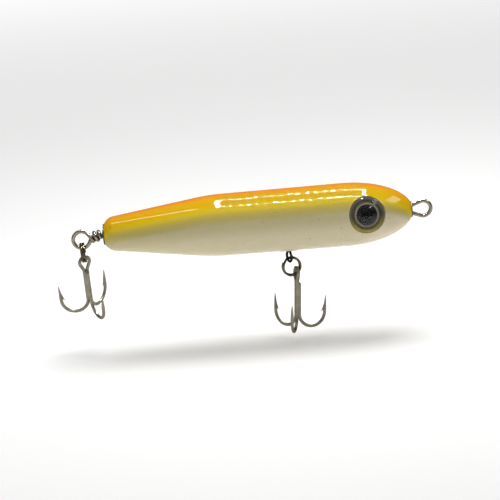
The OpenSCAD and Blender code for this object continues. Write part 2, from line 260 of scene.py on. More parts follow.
def lathe(shell, profile, steps=64, close=True):
    """Turns (radius, height) points about Z; a radius of 0 closes the shape there."""
    rows = []
    for r, h in profile:
        if r < 1e-6:
            rows.append(shell.row([(0, 0, h)], tuple) * steps)
        else:
            rows.append(shell.row([(r * c, r * s, h) for c, s in circle(steps)], tuple))
    shell.skin(rows + rows[:1] if close else rows)


def turn_piece(profile, steps, close=True):
    shell = Shell()
    lathe(shell, profile, steps, close)
    return shell


def arc(centre, u, v, r, start, end, n):
    """Points of an arc in the plane of u and v, angles in radians."""
    c, u, v = Vector(centre), Vector(u), Vector(v)
    return [c + r * (u * math.cos(w) + v * math.sin(w))
            for w in (start + (end - start) * i / n for i in range(n + 1))]


def open_loop(r, x, z, n):
    """Angles round a loop of radius r whose ends run straight on to legs at x and -x, z away."""
    spread = math.acos(r / math.hypot(x, z)) + math.atan(x / z)
    return [spread + (TAU - 2 * spread) * k / n for k in range(n + 1)]


def rounded(points, radii, step=0.35):
    """A path of straight stretches through points, with an arc of the given radius at each inner one."""
    pts = [Vector(p) for p in points]
    out = [pts[0]]
    for a, b, c, r in zip(pts, pts[1:], pts[2:], radii):
        u, v = (a - b).normalized(), (c - b).normalized()
        angle = u.angle(v)
        reach = min(r / math.tan(angle / 2), 0.49 * (a - b).length, 0.49 * (c - b).length)
        r = reach * math.tan(angle / 2)
        centre = b + (u + v).normalized() * (r / math.sin(angle / 2))
        s, e = b + u * reach - centre, b + v * reach - centre
        total = s.angle(e)
        n = max(4, int(total * r / step), int(total / rad(9)))
        axis = s.cross(e).normalized()
        out += [centre + Matrix.Rotation(total * k / n, 3, axis) @ s for k in range(n + 1)]
    return out + [pts[-1]]


def fill(path, step):
    """The same path with points no further apart than step."""
    out = [Vector(path[0])]
    for q in path[1:]:
        q = Vector(q)
        gap = (q - out[-1]).length
        if gap > 1e-5:
            start, n = out[-1].copy(), max(1, math.ceil(gap / step))
            out += [start.lerp(q, k / n) for k in range(1, n + 1)]
    return out


def solid(shell, name, materials, place, merge=0.0005):
    """An object from a shell, put at its place, smooth and with its faces turned outwards."""
    mesh = bpy.data.meshes.new(name)
    mesh.from_pydata([tuple((place @ p) * SCALE) for p in shell.points], [], shell.faces)
    layer = mesh.attributes.new("pattern", "FLOAT_VECTOR", "POINT")
    layer.data.foreach_set("vector", np.array(shell.pattern, np.float32).ravel())
    for m in materials:
        mesh.materials.append(m)
    mesh.polygons.foreach_set("material_index", np.array(shell.mats, np.int32))
    bm = bmesh.new()
    bm.from_mesh(mesh)
    bmesh.ops.remove_doubles(bm, verts=bm.verts, dist=merge * SCALE)
    bmesh.ops.recalc_face_normals(bm, faces=bm.faces)
    for f in bm.faces:
        f.smooth = True
    bm.to_mesh(mesh)
    bm.free()
    return stood(name, mesh)


def stood(name, data):
    """A new object with this data, in the scene."""
    obj = bpy.data.objects.new(name, data)
    bpy.context.scene.collection.objects.link(obj)
    return obj


def make(shell, name, materials, body, slot, nodes=None, place=Matrix(), sharp=42, **how):
    """An object that rides on a body and stands for CAD nodes: its slot's own, unless told otherwise."""
    obj = solid(shell, name, materials, place, **how)
    obj.data.set_sharp_from_angle(angle=rad(sharp))
    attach(obj, body)
    nodes = [slot] if nodes is None else nodes
    if nodes:
        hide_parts(*nodes)
    return obj


# ---- materials

class Nodes:
    """Short hand for building the nodes of a material, a lamp or the world."""

    def __init__(self, owner, output="OutputMaterial"):
        owner.use_nodes = True
        self.owner, self.tree = owner, owner.node_tree
        self.tree.nodes.clear()
        self.out = self.new(output)

    def new(self, kind, inputs=None, **settings):
        node = self.tree.nodes.new("ShaderNode" + kind)
        for k, v in settings.items():
            setattr(node, k, v)
        for k, v in (inputs or {}).items():
            self.put(node.inputs[k], v)
        return node

    def put(self, socket, value):
        if isinstance(value, bpy.types.NodeSocket):
            self.tree.links.new(value, socket)
        else:
            socket.default_value = value

    def math(self, op, *values):
        return self.new("Math", dict(enumerate(values)), operation=op).outputs[0]

    def add(self, a, b):
        return self.math("ADD", a, b)

    def mul(self, a, b):
        return self.math("MULTIPLY", a, b)

    def mix(self, factor, a, b, blend="MIX"):
        node = self.new("Mix", data_type="RGBA", blend_type=blend)
        for k, v in ((0, factor), (6, a), (7, b)):
            self.put(node.inputs[k], v)
        return node.outputs[2]

    def ramp(self, value, stops):
        """A colour ramp from (position, red, green, blue) stops in linear numbers."""
        node = self.new("ValToRGB", {0: value})
        el = node.color_ramp.elements
        el.remove(el[-1])
        for k, (at, *colour) in enumerate(stops):
            stop = el.new(at) if k else el[0]
            stop.position, stop.color = at, colour + [1]
        return node.outputs[0]

    def range(self, value, a, b, c, d, smooth=False):
        names = ("Value", "From Min", "From Max", "To Min", "To Max")
        return self.new("MapRange", dict(zip(names, (value, a, b, c, d))), clamp=True,
                        interpolation_type="SMOOTHSTEP" if smooth else "LINEAR").outputs[0]

    def noise(self, vector, scale, detail=3.0, rough=0.5, distort=0.0):
        return self.new("TexNoise", {"Vector": vector, "Scale": scale, "Detail": detail,
                                     "Roughness": rough, "Distortion": distort}).outputs[0]

    def stretched(self, vector, factors):
        return self.new("Mapping", {"Vector": vector, "Scale": factors}).outputs[0]

    def bump(self, height, strength, distance, **normal):
        return self.new("Bump", {"Height": height, "Strength": strength, "Distance": distance,
                                 **normal}).outputs[0]

    def axes(self, vector):
        return self.new("SeparateXYZ", {"Vector": vector}).outputs

    def pattern(self):
        return self.new("Attribute", attribute_name="pattern").outputs["Vector"]

    def place(self):
        return self.new("TexCoord").outputs["Object"]

    def shader(self, **inputs):
        return self.new("BsdfPrincipled", {k.replace("_", " "): v for k, v in inputs.items()}).outputs[0]

    def done(self, shader):
        self.tree.links.new(shader, self.out.inputs["Surface"])
        return self.owner


def material(name):
    return Nodes(bpy.data.materials.new(name))


def srgb(r, g, b):
    """A linear colour with alpha, from sRGB numbers of 0 to 255."""
    return tuple(c / 12.92 if c <= 0.04045 else ((c + 0.055) / 1.055) ** 2.4
                 for c in (r / 255, g / 255, b / 255)) + (1,)


def stops(table):
    """Ramp stops from (position, sRGB numbers)."""
    return [(at, *srgb(*colour)[:3]) for at, *colour in table]


METAL_EDGE = (0.3, 0.28, 0.24, 1)


def metal(name, colour, dark, rough, streak=1.0, blotch=0.35, wear=0.0, bump=0.12):
    """Drawn or plated metal: streaks along the piece, blotches, and roughness that follows both."""
    n = material(name)
    pattern, colour, dark = n.pattern(), srgb(*colour), srgb(*dark)
    lines = n.noise(n.stretched(pattern, (5.0, 5.0, 0.22 * streak)), 1.0, 4.0, 0.6)
    fine = n.noise(n.stretched(pattern, (14.0, 14.0, 0.5 * streak)), 1.0, 3.0, 0.6)
    patches = n.noise(n.place(), 520.0, 4.0, 0.6, 0.4)
    shade = n.add(n.mul(lines, 0.55), n.mul(patches, 0.45 + blotch))
    base = n.mix(n.range(shade, 0.35, 0.85 + blotch, 1.0, 0.0), dark, colour)
    if wear:
        specks = n.range(n.noise(n.place(), 2600.0, 2.0, 0.5), 0.62, 0.72, 0.0, wear)
        base = n.mix(specks, base, tuple(c * 0.45 for c in dark[:3]) + (1,))
    roughness = n.range(n.add(fine, n.mul(patches, 0.6)), 0.5, 1.1, *rough)
    normal = n.bump(n.add(fine, n.mul(patches, 0.8)), bump, 0.00003)
    return n.done(n.shader(Base_Color=base, Metallic=1.0, Roughness=roughness, Normal=normal,
                           Specular_Tint=METAL_EDGE))


# the fade at the back, against the depth below the body's top line in centimetres
BACK_FADE = ((0.00, 228, 138, 2), (0.02, 228, 152, 0), (0.06, 228, 166, 0), (0.14, 226, 174, 0),
             (0.24, 226, 180, 0), (0.34, 228, 190, 4), (0.42, 228, 196, 34), (0.50, 221, 193, 60),
             (0.60, 206, 184, 78), (0.72, 196, 179, 96), (0.86, 196, 183, 122), (1.00, 204, 193, 148))


def paint(name):
    """Airbrushed orange and yellow back over a pearl flank, under a thick clear coat.
    The pattern's X is how far a point is below the top line of the body, in millimetres."""
    n = material(name)
    place = n.place()
    drop, behind = n.axes(n.pattern())[:2]
    cloud = n.noise(place, 260.0, 3.0, 0.55)
    mist = n.noise(place, 2400.0, 3.0, 0.75)
    grains = n.noise(place, 5200.0, 2.0, 0.6)
    wander = n.mul(n.math("SUBTRACT", cloud, 0.5), n.range(drop, 0.0, 2.0, 0.2, 1.1))
    spray = n.mul(n.math("SUBTRACT", mist, 0.5), n.range(drop, 2.0, 5.5, 0.9, 2.4))
    depth = n.add(drop, n.add(wander, spray))
    colour = n.ramp(n.math("DIVIDE", depth, 10.0), stops(BACK_FADE))
    pearl = n.mix(n.range(drop, 9.5, 17.0, 0.0, 0.8, True), colour, srgb(219, 209, 176))
    pearl = n.mix(n.range(drop, 16.0, 24.0, 0.0, 0.9, True), pearl, srgb(215, 204, 174))
    nose_tint = n.mul(n.range(behind, 4.0, 34.0, 1.0, 0.0, True), n.range(drop, 6.5, 10.0, 0.0, 0.5))
    tinted = n.mix(nose_tint, pearl, srgb(232, 214, 196))
    mottle = n.range(n.add(n.mul(cloud, 0.5), n.mul(grains, 0.5)), 0.3, 0.7, 0.955, 1.03)
    shade = n.new("CombineColor", {"Red": mottle, "Green": mottle, "Blue": mottle}).outputs[0]
    toned = n.mix(1.0, tinted, shade, "MULTIPLY")
    dust = n.range(n.noise(place, 900.0, 1.0, 0.4), 0.755, 0.79, 0.0, 0.45)
    final = n.mix(dust, toned, srgb(120, 104, 70))
    lathe_marks = n.noise(n.stretched(place, (900.0, 30.0, 30.0)), 1.0, 2.0, 0.5)
    flake = n.bump(grains, 0.10, 0.00004, Normal=n.bump(lathe_marks, 0.10, 0.00005))
    swell = n.bump(n.noise(place, 95.0, 2.0, 0.5), 0.025, 0.0004)
    orange_peel = n.bump(n.noise(place, 620.0, 2.0, 0.45), 0.010, 0.00008, Normal=swell)
    return n.done(n.shader(Base_Color=final, Roughness=n.range(mist, 0.3, 0.7, 0.32, 0.46),
                           Normal=flake, Coat_Weight=0.6, Coat_Roughness=0.015, Coat_IOR=1.4,
                           Coat_Normal=orange_peel, Specular_IOR_Level=0.0))


def sealed_wood(name):
    """The raw bores: end grain and streaks darkened by sealer."""
    n = material(name)
    place = n.place()
    grain = n.noise(n.stretched(place, (60.0, 900.0, 900.0)), 1.0, 5.0, 0.65, 0.6)
    pores = n.range(n.noise(n.stretched(place, (300.0, 3200.0, 3200.0)), 1.0, 2.0, 0.5), 0.6, 0.75, 0.0, 0.7)
    colour = n.mix(n.range(grain, 0.3, 0.7, 0.0, 1.0), srgb(150, 112, 66), srgb(196, 160, 108))
    colour = n.mix(pores, colour, srgb(92, 62, 32))
    return n.done(n.shader(Base_Color=colour, Roughness=n.range(grain, 0.3, 0.7, 0.45, 0.7),
                           Normal=n.bump(grain, 0.3, 0.0001)))


PUPIL_R, PRINT_R, GROOVES_PER_MM = 3.95, 7.6, 1.2
# the printed rings, against the distance from the middle as a share of PRINT_R
IRIS_RINGS = ((0.0, 1, 1, 1), (0.510, 2, 2, 2), (0.530, 56, 52, 44), (0.56, 118, 111, 98),
              (0.605, 134, 126, 112), (0.64, 92, 86, 73), (0.665, 60, 55, 43), (0.70, 84, 79, 64),
              (0.745, 56, 52, 40), (0.80, 86, 82, 66), (0.86, 98, 94, 78), (0.93, 122, 118, 102),
              (1.0, 86, 81, 62))


def iris(name, side):
    """The printed disc: black pupil, a pale ring round it, a grooved olive-grey iris, and a painted reflection
    of the yellow paint as an olive-yellow arc at its lower rim.
    """
    n = material(name)
    place = n.place()
    x, across = n.axes(n.pattern())[:2]
    y = n.mul(across, -1.0 * side)
    r = n.math("SQRT", n.add(n.mul(x, x), n.mul(y, y)))
    fine = n.noise(place, 3000.0, 3.0, 0.6)
    patchiness = n.noise(place, 1500.0, 4.0, 0.7, 1.5)
    wobble = n.add(r, n.mul(n.math("SUBTRACT", fine, 0.5), 0.12))
    base = n.ramp(n.math("DIVIDE", wobble, PRINT_R), stops(IRIS_RINGS))
    # painted reflection: a partly metallic olive-yellow arc printed on the iris's lower rim, standing for the
    # yellow paint seen through the dome
    low = n.math("DIVIDE", y, n.math("MAXIMUM", r, 0.01))
    sector = n.range(low, 0.1, -0.75, 0.0, 1.0, True)
    edge = n.range(r, 5.6, 6.6, 0.0, 1.0, True)
    gold_reflection = n.mul(n.mul(sector, edge), n.range(patchiness, 0.36, 0.56, 0.35, 1.0))
    gold_reflection_colour = n.mix(n.range(patchiness, 0.35, 0.7, 0.0, 1.0), srgb(96, 84, 6), srgb(168, 150, 22))
    wave = n.math("SINE", n.mul(r, TAU * GROOVES_PER_MM))
    bead = n.range(r, PUPIL_R - 0.25, PUPIL_R - 0.05, 1.0, 0.0)
    return n.done(n.shader(Base_Color=n.mix(gold_reflection, base, gold_reflection_colour), Metallic=n.mul(gold_reflection, 0.55),
                           Roughness=n.range(patchiness, 0.3, 0.7, 0.3, 0.45),
                           Normal=n.bump(n.add(wave, fine), 0.12, 0.00006), Specular_IOR_Level=0.0,
                           Coat_Weight=bead, Coat_Roughness=0.02, Coat_IOR=1.3))


def lens(name):
    """Clear cast epoxy: light reaches the disc under it."""
    n = material(name)
    place = n.place()
    swell = n.bump(n.noise(place, 120.0, 2.0, 0.5), 0.015, 0.0002)
    tint = n.mix(n.noise(place, 160.0, 2.0, 0.5), (0.965, 0.975, 0.955, 1), (0.99, 0.99, 0.98, 1))
    glass = n.shader(Base_Color=tint, Roughness=0.0, IOR=1.22, Transmission_Weight=1.0, Normal=swell,
                     Coat_Weight=0.0)
    clear = n.new("BsdfTransparent", {"Color": (0.97, 0.98, 0.96, 1)}).outputs[0]
    path = n.new("LightPath").outputs["Is Shadow Ray"]
    return n.done(n.new("MixShader", {0: path, 1: glass, 2: clear}).outputs[0])


PAINT = paint("airbrushed_paint")
BORE = sealed_wood("sealed_bore")
WIRE = metal("drawn_wire", (178, 170, 152), (92, 84, 70), (0.16, 0.28), streak=0.6, bump=0.10)
RING = metal("ring_steel", (122, 114, 92), (40, 35, 22), (0.16, 0.30), streak=0.7)
HOOK = metal("tinned_hook", (162, 157, 142), (90, 86, 73), (0.28, 0.42), 0.8, 0.5, 0.35, 0.3)
SOLDER = metal("brazed_hook", (165, 160, 146), (96, 92, 79), (0.28, 0.42), 0.8, 0.55, 0.3, 0.35)
BLACK = metal("black_nickel", (52, 51, 50), (14, 14, 15), (0.2, 0.36), streak=0.8, bump=0.15)
BRASS = metal("dark_brass", (146, 116, 60), (66, 48, 22), (0.26, 0.42), 1.0, 0.5, 0.5, 0.2)
NOSE_WASHER = metal("nose_washer_steel", (96, 92, 84), (38, 36, 32), (0.3, 0.5), bump=0.2)
TAIL_WASHER = metal("blued_washer", (128, 136, 152), (48, 54, 68), (0.28, 0.44), wear=0.4, bump=0.2)
LEAD = metal("cast_lead", (120, 122, 126), (64, 66, 72), (0.5, 0.7), blotch=0.6, wear=0.6, bump=0.6)
LENS = lens("clear_dome")


# ---- the body

AROUND = 176    # faces round the body and round its bore
OPENINGS_Z = 2.0    # the band of the belly hole's wall that the bore crosses is this high, both ways
DOWN = Vector((0, 0, -1))
# the walls of the nose's hole and the tail's: (distance behind the nose or its flat, radius, material)
NOSE_WALL = ((0.22, 3.12, 0), (0.14, 2.95, 0), (0.14, 2.78, 0), (0.2, 2.68, 0), (0.4, 2.65, 0),
             (2.0, 2.65, 0), (6.0, 2.65, 1), (12.8, 2.65, 1), (13.0, 2.5, 1), (13.0, 1.0, 1))
NOSE_FLAT_SET = 0.26    # the flat sits just behind the washer's face
TAIL_WALL = ((BODY_LENGTH, 2.4, 0), (BODY_LENGTH, 1.2, 0), (BODY_LENGTH - 0.15, 1.03, 1),
             (BODY_LENGTH - 0.6, 1.0, 1))


def on_body(origin, n):
    """Where the line from origin along n leaves the body."""
    def over(t):
        q = origin + n * t
        return math.hypot(q.y, q.z) - radius_at(NOSE_X - q.x)
    low, high = -7.0, 7.0
    while over(low) > 0:
        low -= 2
    while over(high) < 0:
        high += 2
    for _ in range(44):
        mid = (low + high) / 2
        if over(mid) > 0:
            high = mid
        else:
            low = mid
    return origin + n * ((low + high) / 2)


def paint_pattern(q):
    """Depth below the top line, distance behind the nose, angle."""
    d = NOSE_X - q.x
    return (radius_at(min(max(d, NOSE_FLAT_AT), BODY_LENGTH)) - q.z, d, math.atan2(q.z, q.y))


def compass(j):
    """The angle of the body's line j, from the top."""
    return math.pi / 2 + TAU * j / AROUND


def ring_yz(r):
    """Y and Z of the points r from the axis on each of the body's lines."""
    return [(r * math.cos(compass(j)), r * math.sin(compass(j))) for j in range(AROUND)]


class Hole:
    """A round hole along its place's Z: a rounded rim with a lip, then a wall down to a floor."""

    def __init__(self, place, r, rim_r, floor, steps, rim, wall, mat=1, lip=0.0):
        self.c, self.e1, self.e2, self.n = place.translation.copy(), *(place.col[k].xyz for k in range(3))
        self.r, self.rim_r, self.floor, self.steps = r, rim_r, floor, steps
        self.rim, self.wall, self.mat, self.lip = rim, wall, mat, lip

    def around(self, r):
        return [self.c + r * (self.e1 * c + self.e2 * s) for c, s in circle(self.steps)]

    def ring(self, k):
        """Row k of the rim's points: row 0 is on the body's surface, the last is on the wall."""
        a = math.pi / 2 * k / self.rim
        down = self.rim_r * (1 - math.cos(a)) - self.lip * math.sin(math.pi * min(1.5 * k / self.rim, 1))
        return [on_body(q, self.n) - self.n * down
                for q in self.around(self.r + self.rim_r * (1 - math.sin(a)))]


def body_holes():
    """The eyes' sockets, the belly hole and the two ballast holes."""
    socket_floor = -SOCKET_DEPTH - 0.55
    holes = [Hole(eye_frame(side), SOCKET_R, 0.16, socket_floor, 128, rim=7, wall=3, mat=0, lip=0.05)
             for side in (-1, 1)]
    upside_down = Matrix.Diagonal((1, -1, -1, 1))
    holes.append(Hole(moved(HANGER_X) @ upside_down, HANGER_HOLE_R, 0.7, 0, 96, rim=9, wall=0, lip=0.32))
    for w in (BELLY_WEIGHT, TAIL_WEIGHT):
        top = -radius_at(w["at"]) + PLUG_DEPTH + w["length"]
        place = moved(NOSE_X - w["at"]) @ upside_down
        holes.append(Hole(place, w["r"] + 0.03, 0.05, -top, 72, rim=2, wall=6))
    return holes


def stations():
    """Places along the outline, closer together where it curves: run, distance behind the nose, radius."""
    s = np.concatenate([[0], np.cumsum(np.hypot(np.diff(LINE[:, 0]), np.diff(LINE[:, 1])))])
    run = [0.0]
    at = 0.0
    while at < s[-1]:
        d = float(np.interp(at, s, LINE[:, 0]))
        at += 0.28 if d < 3 or d > BODY_LENGTH - 5 else (0.5 if d < 12 else 0.72)
        run.append(min(at, s[-1]))
    return np.array(run), np.interp(run, s, LINE[:, 0]), np.interp(run, s, LINE[:, 1])


def inside(poly, q):
    hit = False
    for a, b in zip(poly, np.roll(poly, -1, 0)):
        if (a[1] > q.y) != (b[1] > q.y) and q.x < (b[0] - a[0]) * (q.y - a[1]) / (b[1] - a[1]) + a[0]:
            hit = not hit
    return hit


def triangulate(shell, coords, index, edges, merge, mat, skip):
    """Fills a flat drawing of a patch with triangles, except those for which skip(a, b, c) is true."""
    verts, _, tris, owners, _, _ = delaunay_2d_cdt(coords, edges, [], 0, merge)
    for tri in tris:
        if not skip(*(verts[k] for k in tri)):
            shell.face([index[owners[k][0]] for k in tri], mat)


def build_body():
    shell = Shell()
    run, ds, rs = stations()
    count = np.arange(len(run))
    grid = {}

    def node(i, j):
        """The shell's point at station i and line j."""
        key = i, j % AROUND
        if key not in grid:
            r, w = radius_at(ds[i]), compass(key[1])
            q = Vector((NOSE_X - ds[i], r * math.cos(w), r * math.sin(w)))
            grid[key] = shell.point(q, paint_pattern(q))
        return grid[key]

    def span(values):
        return int(values.min()) - 2, int(math.ceil(values.max())) + 2

    # each hole leaves a window in the grid
    taken = np.zeros((len(run), AROUND), bool)
    windows = []
    for hole in body_holes():
        outer = hole.ring(0)
        station = np.interp([NOSE_X - q.x for q in outer], ds, count)
        column = np.array([(math.atan2(q.z, q.y) - math.pi / 2) % TAU for q in outer]) / TAU * AROUND
        (i0, i1), (j0, j1) = span(station), span(column)
        taken[i0:i1, j0:j1] = True
        windows.append((hole, outer, station, column, i0, i1, j0, j1))
    for i in range(len(run) - 1):
        for j in range(AROUND):
            if not taken[i, j]:
                shell.face((node(i, j), node(i, j + 1), node(i + 1, j + 1), node(i + 1, j)))

    # which is filled with triangles round the hole's rim
    for hole, outer, station, column, i0, i1, j0, j1 in windows:
        width = TAU * rs[(i0 + i1) // 2] / AROUND

        def flat(i, j):
            return Vector((float(np.interp(i, count, run)), j * width))

        ring = [flat(i, j) for i, j in zip(station, column)]
        poly = np.array([tuple(q) for q in ring])
        coords, index = [], []
        for i in range(i0, i1 + 1):
            for j in range(j0, j1 + 1):
                q = flat(i, j)
                near = min(np.hypot(poly[:, 0] - q.x, poly[:, 1] - q.y))
                if i in (i0, i1) or j in (j0, j1) or (near > 0.3 and not inside(poly, q)):
                    coords.append(q)
                    index.append(node(i, j))
        rows = [shell.row(outer, paint_pattern)]
        first = len(coords)
        edges = [(first + k, first + (k + 1) % hole.steps) for k in range(hole.steps)]
        triangulate(shell, coords + ring, index + rows[0], edges, 1e-7, 0,
                    lambda a, b, c: inside(poly, (a + b + c) / 3))
        rows += [shell.row(hole.ring(k), paint_pattern) for k in range(1, hole.rim + 1)]
        shell.skin(rows)
        if not hole.wall:
            hanger_walls(shell, hole, rows[-1])
            continue
        top = [shell.points[j] for j in rows[-1]]
        deep = [q + hole.n * hole.floor for q in hole.around(hole.r)]
        wall = [rows[-1]] + [shell.row([a.lerp(b, k / hole.wall) for a, b in zip(top, deep)], paint_pattern)
                             for k in range(1, hole.wall + 1)]
        shell.skin(wall, hole.mat)
        shell.fan(wall[-1], shell.point(hole.c + hole.n * hole.floor), 1)

    def end_row(d, r):
        edge = radius_at(max(d, NOSE_FLAT_AT))
        return [shell.point((NOSE_X - d, y, z), (min(10.0, edge - z), d, 0)) for y, z in ring_yz(r)]

    # the nose's flat and hole, and the tail's flat round the wire
    nose = [node(0, j) for j in range(AROUND)]
    for d, r, mat in NOSE_WALL:
        before, nose = nose, end_row(d + NOSE_FLAT_SET, r)
        shell.strip(nose, before, mat)
    tail = [node(len(run) - 1, j) for j in range(AROUND)]
    for d, r, mat in TAIL_WALL:
        before, tail = tail, end_row(d, r)
        shell.strip(before, tail, mat)
    # the bore runs from each to the belly hole
    for start, side in ((nose, 1), (tail, -1)):
        begin = shell.points[start[0]].x
        rows = [start]
        for k in range(1, 41):
            ring = []
            for y, z in ring_yz(BORE_R):
                end = HANGER_X + side * math.sqrt(HANGER_HOLE_R ** 2 - y * y)
                ring.append((begin + (end - begin) * (k / 40), y, z))
            rows.append(shell.row(ring))
        shell.skin(rows, 1)
    return shell


def hanger_walls(shell, hole, rim):
    """The belly hole's wall up to its blind top, with an opening at each side where the bore crosses it."""
    steps, r = hole.steps, hole.r

    def level(z):
        return shell.row([(q.x, q.y, z) for q in hole.around(r)])

    # a short skirt brings the wavy rim to a level ring
    rows = [level(z) for z in np.linspace(max(shell.points[j].z for j in rim) + 0.2, -OPENINGS_Z, 10)]
    shell.strip(rim, rows[0])
    shell.skin(rows, 1)
    upper = level(OPENINGS_Z)
    # the band with the openings is unrolled and triangulated
    full = TAU * r
    coords, index, edges = [], [], []
    for z, ring in ((-OPENINGS_Z, rows[-1]), (OPENINGS_Z, upper)):
        coords += [Vector((TAU * k / steps * r, z)) for k in range(steps + 1)]
        index += [ring[k % steps] for k in range(steps + 1)]
    for centre, side in ((0.0, 1), (math.pi, -1), (TAU, 1)):
        first, previous = len(coords), None
        for y, z in ring_yz(BORE_R):
            # the hole's second axis points along -Y, so a positive y is a smaller angle on the +X side
            at = (centre - side * math.asin(y / r)) * r
            if not -1e-9 <= at <= full + 1e-9:
                previous = None
                continue
            index.append(shell.point((HANGER_X + side * math.sqrt(r ** 2 - y * y), y, z)))
            coords.append(Vector((at, z)))
            if previous is not None:
                edges.append((previous, len(coords) - 1))
            previous = len(coords) - 1
        if side < 0:
            edges.append((previous, first))
    # both edges of the drawing share the points of the seam
    seam = hole.around(r)[0]
    for k in range(1, 8):
        z = OPENINGS_Z * (k / 4 - 1)
        if abs(z) > BORE_R + 0.1:
            coords += [Vector((0.0, z)), Vector((full, z))]
            index += [shell.point((seam.x, seam.y, z))] * 2

    def skip(a, b, c):
        mid = (a + b + c) / 3
        return (abs((b - a).cross(c - a)) < 2e-5
                or math.hypot(math.sin(mid.x / r) * r, mid.y) < BORE_R * 0.9998)

    triangulate(shell, coords, index, edges, 1e-6, 1, skip)
    rows = [upper, level(OPENINGS_Z + 0.6), level(HANGER_TOP)]
    shell.skin(rows, 1)
    shell.fan(rows[-1], shell.point((HANGER_X, 0, HANGER_TOP)), 1)


make(build_body(), "turned_body", [PAINT, BORE], "lure_body", "body", sharp=50, merge=0.002)


# ---- ballast and its plugs

def build_plug(weight):
    """A dowel whose outer face follows the belly."""
    shell = Shell()
    r, c, ring = weight["r"] - 0.02, Vector((NOSE_X - weight["at"], 0, 0)), circle(72)
    middle, = shell.row([on_body(c, DOWN)], paint_pattern)
    rows = []
    for share, lift in ((0.12, 0), (0.25, 0), (0.4, 0), (0.55, 0), (0.7, 0), (0.85, 0), (0.95, 0),
                        (0.988, 0), (1.0, 0.04)):
        rows.append(shell.row([on_body(c + Vector((x, y, 0)) * r * share, DOWN) - DOWN * lift
                               for x, y in ring], paint_pattern))
    shell.fan(rows[0], middle)
    shell.skin(rows)
    top = -radius_at(weight["at"]) + PLUG_DEPTH - 0.02
    rows = rows[-1:] + [shell.row([(c.x + x * r * share, y * r * share, top) for x, y in ring])
                        for share in (1.0, 0.93)]
    shell.skin(rows, 1)
    shell.fan(rows[-1], shell.point((c.x, 0, top)), 1)
    return shell


def build_slug(weight):
    r, h = weight["r"] - 0.03, weight["length"] - 0.04
    return turn_piece([(0, 0), (r * 0.9, 0), (r * 0.97, 0.08), (r, 0.3), (r, h - 0.3), (r * 0.97, h - 0.08),
                       (r * 0.9, h), (r * 0.4, h - 0.12), (0, h - 0.16)], 72, close=False)


for label, weight in (("belly", BELLY_WEIGHT), ("tail", TAIL_WEIGHT)):
    make(build_plug(weight), label + "_dowel", [PAINT, BORE], "lure_body", label + "_weight_plug", sharp=50)
    make(build_slug(weight), label + "_slug", [LEAD], "lure_body", label + "_weight",
         place=moved(NOSE_X - weight["at"], 0, -radius_at(weight["at"]) + PLUG_DEPTH + 0.02))


# ---- eyes

BEAD_CURVE = 6.6
DISC_TOP = -SOCKET_DEPTH + DISC_T
# the disc outside the pupil: (radius, depth below its top), a moat and a dished iris
IRIS_DISH = ((4.05, 0.2), (4.2, 0.14), (4.6, 0.12), (4.8, 0.22), (5.0, 0.27), (5.4, 0.2), (5.65, 0.24),
             (5.95, 0.27), (6.2, 0.2), (6.6, 0.17), (7.0, 0.12), (7.3, 0.06), (7.42, 0.04))


def eye_profile():
    """The printed disc's upper side, from its middle out: a domed black pupil, then the iris."""
    foot = DISC_TOP - 0.14 - math.sqrt(BEAD_CURVE ** 2 - PUPIL_R ** 2)
    bead = [(r, foot + math.sqrt(BEAD_CURVE ** 2 - r ** 2)) for r in (PUPIL_R * k / 14 for k in range(15))]
    return bead + [(r, DISC_TOP - depth) for r, depth in IRIS_DISH]


def build_iris():
    edge = [(7.5, DISC_TOP - 0.1), (7.5, -SOCKET_DEPTH - 0.35), (7.4, -SOCKET_DEPTH - 0.5),
            (0, -SOCKET_DEPTH - 0.5)]
    return turn_piece(eye_profile() + edge, 128, close=False)


def build_dome():
    """A clear cap cast over the disc: its underside follows the pupil and the iris."""
    base = DISC_TOP + 0.012
    big = (EYE_R ** 2 + DOME_HEIGHT ** 2) / (2 * DOME_HEIGHT)
    profile = [(r, h + 0.015) for r, h in eye_profile()] + [(7.47, base), (EYE_R, base + 0.07)]
    for k in range(40, -1, -1):
        w = math.asin(EYE_R / big) * 0.985 * k / 40
        h = big * math.cos(w) - (big - DOME_HEIGHT) - SOCKET_DEPTH + DISC_T
        if h > base + 0.09:
            profile.append((big * math.sin(w), h - 0.004))
    return turn_piece(profile, 128, close=False)


for side, label in ((1, "left"), (-1, "right")):
    make(build_iris(), label + "_iris", [iris(label + "_iris_print", side)], "lure_body", label + "_eye_disc",
         place=eye_frame(side), sharp=60)
    make(build_dome(), label + "_lens", [LENS], "lure_body", label + "_eye_dome",
         place=eye_frame(side), sharp=60)


# ---- washers

NOSE_RING = ((2.66, 0.04), (2.72, 0), (3.12, 0), (3.21, 0.04), (3.25, 0.12), (3.25, 0.3), (3.2, 0.37),
             (3.1, 0.4), (2.76, 0.4), (2.69, 0.36), (2.655, 0.28))
CUP_BORE_R = WIRE_R + 0.2
# a domed washer: flat against the tail, crowned outside, with a rolled edge
TAIL_CUP = ((CUP_BORE_R, 0.02), (4.2, 0.0), (4.35, 0.03), (4.4, 0.11), (4.39, 0.19), (4.32, 0.27),
            (4.15, 0.34), (3.8, 0.41), (3.3, 0.475), (2.7, 0.53), (2.0, 0.575), (1.4, 0.6), (1.1, 0.595),
            (CUP_BORE_R + 0.03, 0.55), (CUP_BORE_R, 0.48))

make(turn_piece(NOSE_RING, 96), "nose_ring", [NOSE_WASHER], "lure_body", "nose_washer",
     place=moved(NOSE_X - NOSE_FLAT_AT) @ turned(math.pi / 2, "Y"))
make(turn_piece(TAIL_CUP, 96), "tail_cup", [TAIL_WASHER], "lure_body", "tail_washer",
     place=moved(TAIL_X) @ turned(-math.pi / 2, "Y"))


# ---- the through wire

def bezier(a, b, c, d, n):
    return [a * (1 - t) ** 3 + b * 3 * t * (1 - t) ** 2 + c * 3 * t * t * (1 - t) + d * t ** 3
            for t in (i / n for i in range(n + 1))]


